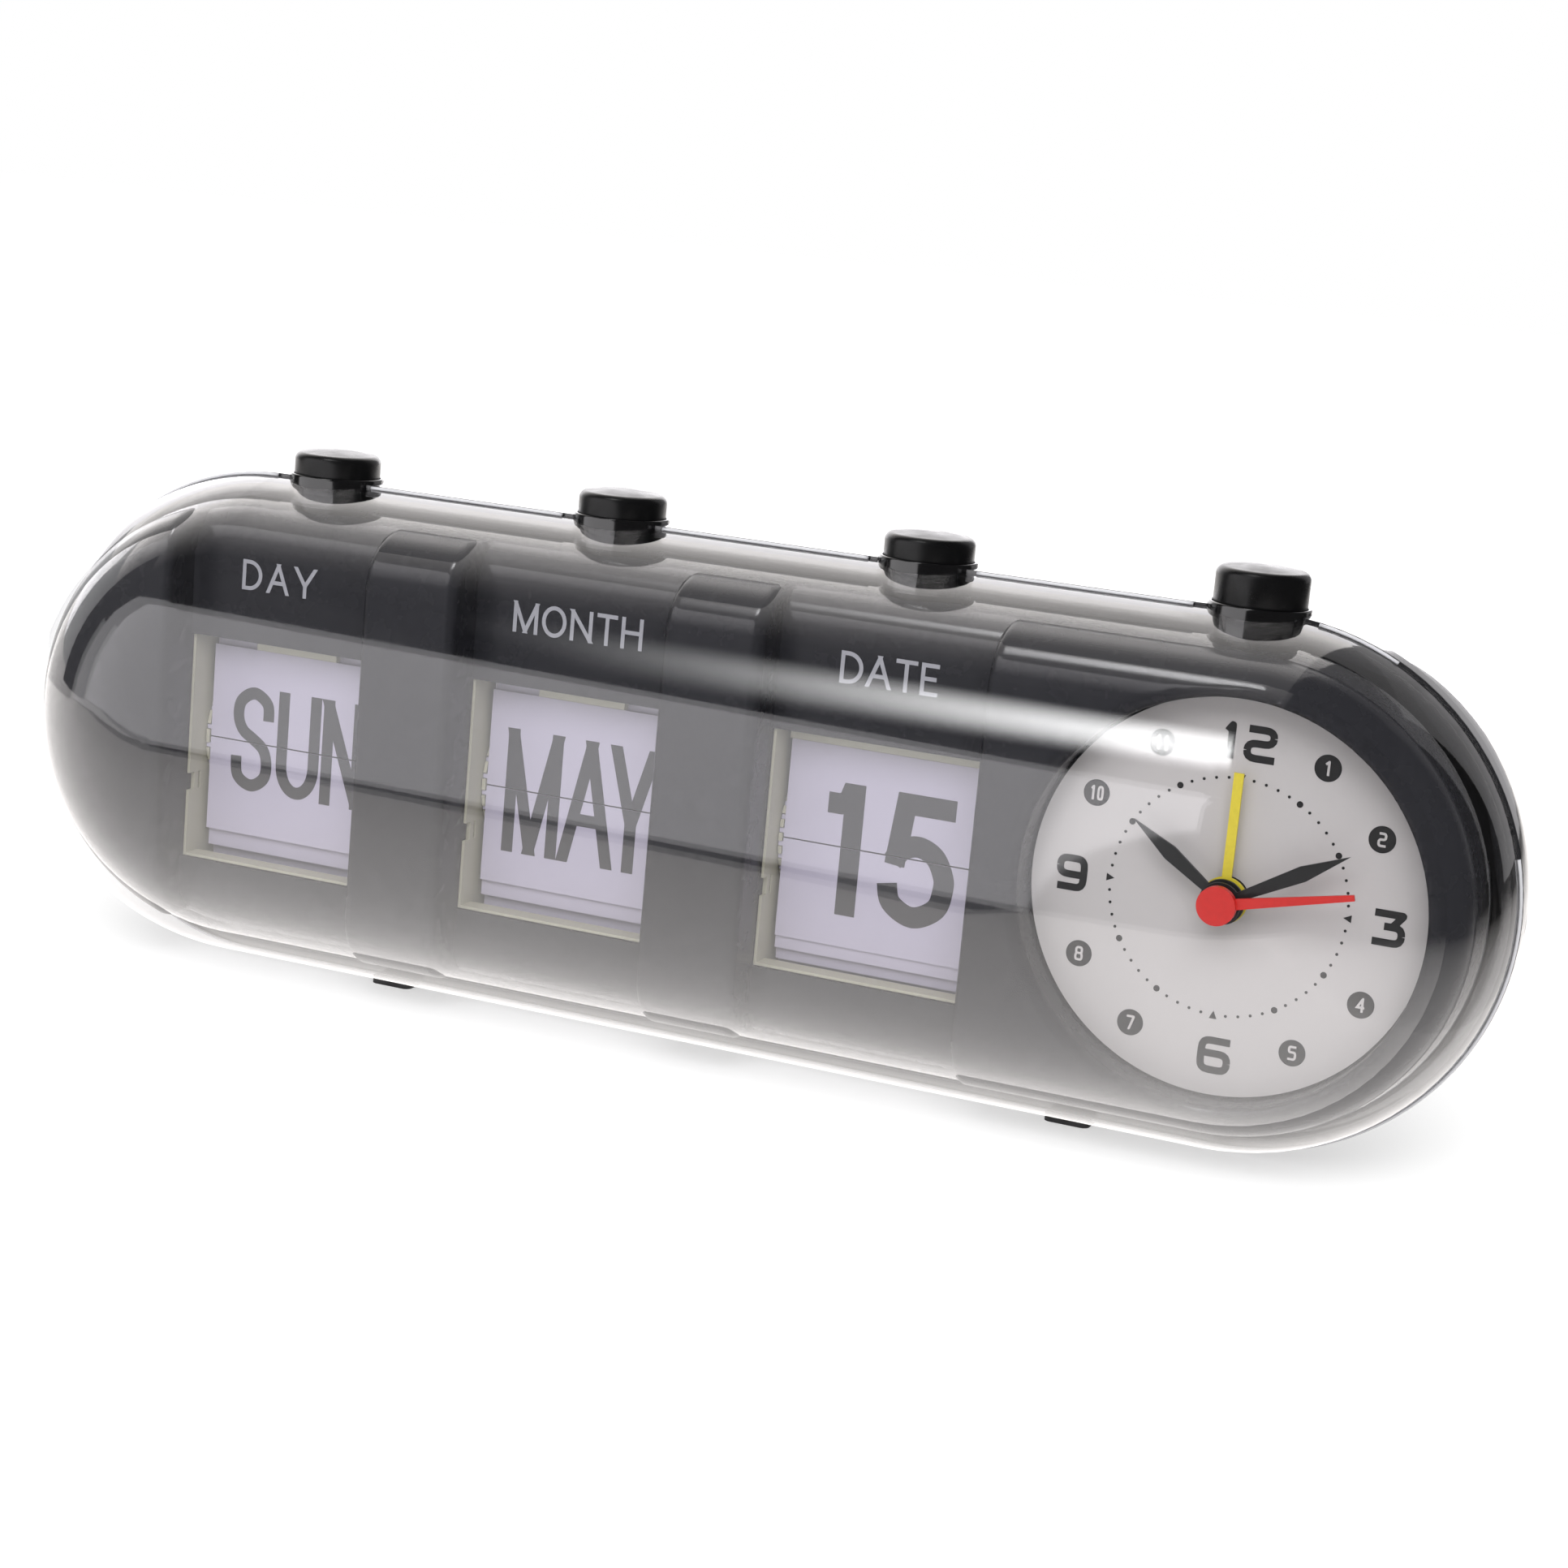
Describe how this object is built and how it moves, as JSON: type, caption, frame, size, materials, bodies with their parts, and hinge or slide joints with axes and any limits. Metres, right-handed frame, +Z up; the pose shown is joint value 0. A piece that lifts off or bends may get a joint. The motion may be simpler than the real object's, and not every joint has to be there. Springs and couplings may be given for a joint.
{
  "type": "flip clock",
  "caption": "Capsule-shaped desk alarm clock: clear front, round dial with hands, and flip units for day, month and date under push buttons.",
  "frame": {"origin": "on the table, under the middle of the case", "axes": "+X along the case to the dial end as seen from the front, +Y to the rear, +Z up"},
  "size_m": [0.2168, 0.0704, 0.0767],
  "materials": {
    "clear_plastic": "clear polished moulding",
    "dark_shell": "polished charcoal moulding",
    "charcoal_body": "gloss charcoal moulding",
    "dial_white": "printed, matt light grey",
    "black_plastic": "moulded, lightly textured",
    "button_black": "gloss black",
    "rubber": "matt",
    "steel": "bright zinc plate",
    "cell_jacket": "plain printed jacket",
    "cream_plastic": "satin moulding",
    "leaf_card": "thin satin sheet, printed",
    "hand_black": "satin black",
    "hand_yellow": "satin yellow",
    "hand_red": "satin red"
  },
  "bodies": {
    "case": {"front_cover": "clear_plastic", "rear_cover": "dark_shell", "inner_body": "charcoal_body", "dial_plate": "dial_white", "movement_case": "black_plastic", "buzzer": "black_plastic", "battery_cell": "cell_jacket", "battery_contacts": "steel", "rubber_feet": "rubber", "case_screws": "steel", "button_collars": "button_black", "alarm_switch": "black_plastic", "alarm_button_spring": "steel", "day_unit_frame": "cream_plastic", "day_click_spring": "steel", "day_button_spring": "steel", "month_unit_frame": "cream_plastic", "month_click_spring": "steel", "month_button_spring": "steel", "date_unit_frame": "cream_plastic", "date_click_spring": "steel", "date_button_spring": "steel"},
    "day_button": {"day_button": "button_black", "day_pusher": "cream_plastic"},
    "day_drum": {"day_drum": "cream_plastic", "day_axle": "steel", "day_ratchet": "cream_plastic", "day_leaf_pack": "leaf_card"},
    "day_falling_leaf": {"day_falling_leaf": "leaf_card"},
    "day_next_leaf": {"day_next_leaf": "leaf_card"},
    "day_lower_leaf": {"day_lower_leaf": "leaf_card"},
    "month_button": {"month_button": "button_black", "month_pusher": "cream_plastic"},
    "month_drum": {"month_drum": "cream_plastic", "month_axle": "steel", "month_ratchet": "cream_plastic", "month_leaf_pack": "leaf_card"},
    "month_falling_leaf": {"month_falling_leaf": "leaf_card"},
    "month_next_leaf": {"month_next_leaf": "leaf_card"},
    "month_lower_leaf": {"month_lower_leaf": "leaf_card"},
    "date_button": {"date_button": "button_black", "date_pusher": "cream_plastic"},
    "date_drum": {"date_drum": "cream_plastic", "date_axle": "steel", "date_ratchet": "cream_plastic", "date_leaf_pack": "leaf_card"},
    "date_falling_leaf": {"date_falling_leaf": "leaf_card"},
    "date_next_leaf": {"date_next_leaf": "leaf_card"},
    "date_lower_leaf": {"date_lower_leaf": "leaf_card"},
    "alarm_button": {"alarm_button": "button_black"},
    "alarm_hand": {"alarm_hand": "hand_yellow"},
    "hour_hand": {"hour_hand": "hand_black"},
    "minute_hand": {"minute_hand": "hand_black"},
    "second_hand": {"second_hand": "hand_red"},
    "time_knob": {"time_knob": "black_plastic"},
    "alarm_knob": {"alarm_knob": "black_plastic"},
    "battery_door": {"battery_door": "dark_shell"}
  },
  "joints": [
    {"name": "day_button_press", "type": "slide", "parent": "case", "child": "day_button", "axis": [0, 0, -1], "range_m": [0, 0.0025], "stiffness_N_per_m": 300, "springref_m": -0.002, "deforming": ["day_button_spring"]},
    {"name": "day_drum_turn", "type": "hinge", "parent": "case", "child": "day_drum", "pos_m": [-0.065, 0.002, 0.0324], "axis": [1, 0, 0], "range_deg": [0, 17.19]},
    {"name": "day_falling_leaf_turn", "type": "hinge", "parent": "day_drum", "child": "day_falling_leaf", "pos_m": [-0.065, -0.0069, 0.03374], "axis": [1, 0, 0], "range_deg": [0, 162.91]},
    {"name": "day_next_leaf_turn", "type": "hinge", "parent": "day_drum", "child": "day_next_leaf", "pos_m": [-0.065, -0.00611, 0.0363], "axis": [1, 0, 0], "range_deg": [-17.19, 0]},
    {"name": "day_lower_leaf_turn", "type": "hinge", "parent": "day_drum", "child": "day_lower_leaf", "pos_m": [-0.065, -0.0069, 0.03106], "axis": [1, 0, 0], "range_deg": [-17.19, 0]},
    {"name": "month_button_press", "type": "slide", "parent": "case", "child": "month_button", "axis": [0, 0, -1], "range_m": [0, 0.0025], "stiffness_N_per_m": 300, "springref_m": -0.002, "deforming": ["month_button_spring"]},
    {"name": "month_drum_turn", "type": "hinge", "parent": "case", "child": "month_drum", "pos_m": [-0.02, 0.002, 0.0324], "axis": [1, 0, 0], "range_deg": [0, 15.05]},
    {"name": "month_falling_leaf_turn", "type": "hinge", "parent": "month_drum", "child": "month_falling_leaf", "pos_m": [-0.02, -0.00692, 0.03358], "axis": [1, 0, 0], "range_deg": [0, 165.05]},
    {"name": "month_next_leaf_turn", "type": "hinge", "parent": "month_drum", "child": "month_next_leaf", "pos_m": [-0.02, -0.00632, 0.03584], "axis": [1, 0, 0], "range_deg": [-15.05, 0]},
    {"name": "month_lower_leaf_turn", "type": "hinge", "parent": "month_drum", "child": "month_lower_leaf", "pos_m": [-0.02, -0.00692, 0.03122], "axis": [1, 0, 0], "range_deg": [-15.05, 0]},
    {"name": "date_button_press", "type": "slide", "parent": "case", "child": "date_button", "axis": [0, 0, -1], "range_m": [0, 0.0025], "stiffness_N_per_m": 300, "springref_m": -0.002, "deforming": ["date_button_spring"]},
    {"name": "date_drum_turn", "type": "hinge", "parent": "case", "child": "date_drum", "pos_m": [0.025, 0.002, 0.0324], "axis": [1, 0, 0], "range_deg": [0, 11.66]},
    {"name": "date_falling_leaf_turn", "type": "hinge", "parent": "date_drum", "child": "date_falling_leaf", "pos_m": [0.025, -0.00695, 0.03331], "axis": [1, 0, 0], "range_deg": [0, 168.44]},
    {"name": "date_next_leaf_turn", "type": "hinge", "parent": "date_drum", "child": "date_next_leaf", "pos_m": [0.025, -0.00659, 0.03509], "axis": [1, 0, 0], "range_deg": [-11.66, 0]},
    {"name": "date_lower_leaf_turn", "type": "hinge", "parent": "date_drum", "child": "date_lower_leaf", "pos_m": [0.025, -0.00695, 0.03149], "axis": [1, 0, 0], "range_deg": [-11.66, 0]},
    {"name": "alarm_button_press", "type": "slide", "parent": "case", "child": "alarm_button", "axis": [0, 0, -1], "range_m": [0, 0.003], "stiffness_N_per_m": 200, "springref_m": -0.002, "deforming": ["alarm_button_spring"]},
    {"name": "time_knob_turn", "type": "hinge", "parent": "case", "child": "time_knob", "pos_m": [0.0645, 0.026, 0.0468], "axis": [0, 1, 0], "continuous": true},
    {"name": "alarm_knob_turn", "type": "hinge", "parent": "case", "child": "alarm_knob", "pos_m": [0.0815, 0.026, 0.0468], "axis": [0, 1, 0], "continuous": true},
    {"name": "alarm_hand_turn", "type": "hinge", "parent": "case", "child": "alarm_hand", "pos_m": [0.073, -0.014, 0.0358], "axis": [0, 1, 0], "continuous": true},
    {"name": "hour_hand_turn", "type": "hinge", "parent": "case", "child": "hour_hand", "pos_m": [0.073, -0.014, 0.0358], "axis": [0, 1, 0], "continuous": true},
    {"name": "minute_hand_turn", "type": "hinge", "parent": "case", "child": "minute_hand", "pos_m": [0.073, -0.014, 0.0358], "axis": [0, 1, 0], "continuous": true},
    {"name": "second_hand_turn", "type": "hinge", "parent": "case", "child": "second_hand", "pos_m": [0.073, -0.014, 0.0358], "axis": [0, 1, 0], "continuous": true},
    {"name": "battery_door_lift", "type": "slide", "parent": "case", "child": "battery_door", "axis": [0, 1, 0], "range_m": [0, 0.02]}
  ],
  "couplings": [
    {"joint": "day_drum_turn", "follows": "day_button_press", "rad_per_m": 119.68},
    {"joint": "day_falling_leaf_turn", "follows": "day_button_press", "rad_per_m": 1137},
    {"joint": "day_next_leaf_turn", "follows": "day_button_press", "rad_per_m": -119.68},
    {"joint": "day_lower_leaf_turn", "follows": "day_button_press", "rad_per_m": -119.68},
    {"joint": "month_drum_turn", "follows": "month_button_press", "rad_per_m": 104.72},
    {"joint": "month_falling_leaf_turn", "follows": "month_button_press", "rad_per_m": 1151.9},
    {"joint": "month_next_leaf_turn", "follows": "month_button_press", "rad_per_m": -104.72},
    {"joint": "month_lower_leaf_turn", "follows": "month_button_press", "rad_per_m": -104.72},
    {"joint": "date_drum_turn", "follows": "date_button_press", "rad_per_m": 81.073},
    {"joint": "date_falling_leaf_turn", "follows": "date_button_press", "rad_per_m": 1175.6},
    {"joint": "date_next_leaf_turn", "follows": "date_button_press", "rad_per_m": -81.073},
    {"joint": "date_lower_leaf_turn", "follows": "date_button_press", "rad_per_m": -81.073},
    {"joint": "minute_hand_turn", "follows": "time_knob_turn", "ratio": 1},
    {"joint": "hour_hand_turn", "follows": "time_knob_turn", "ratio": 0.083333},
    {"joint": "alarm_hand_turn", "follows": "alarm_knob_turn", "ratio": -0.33333}
  ]
}
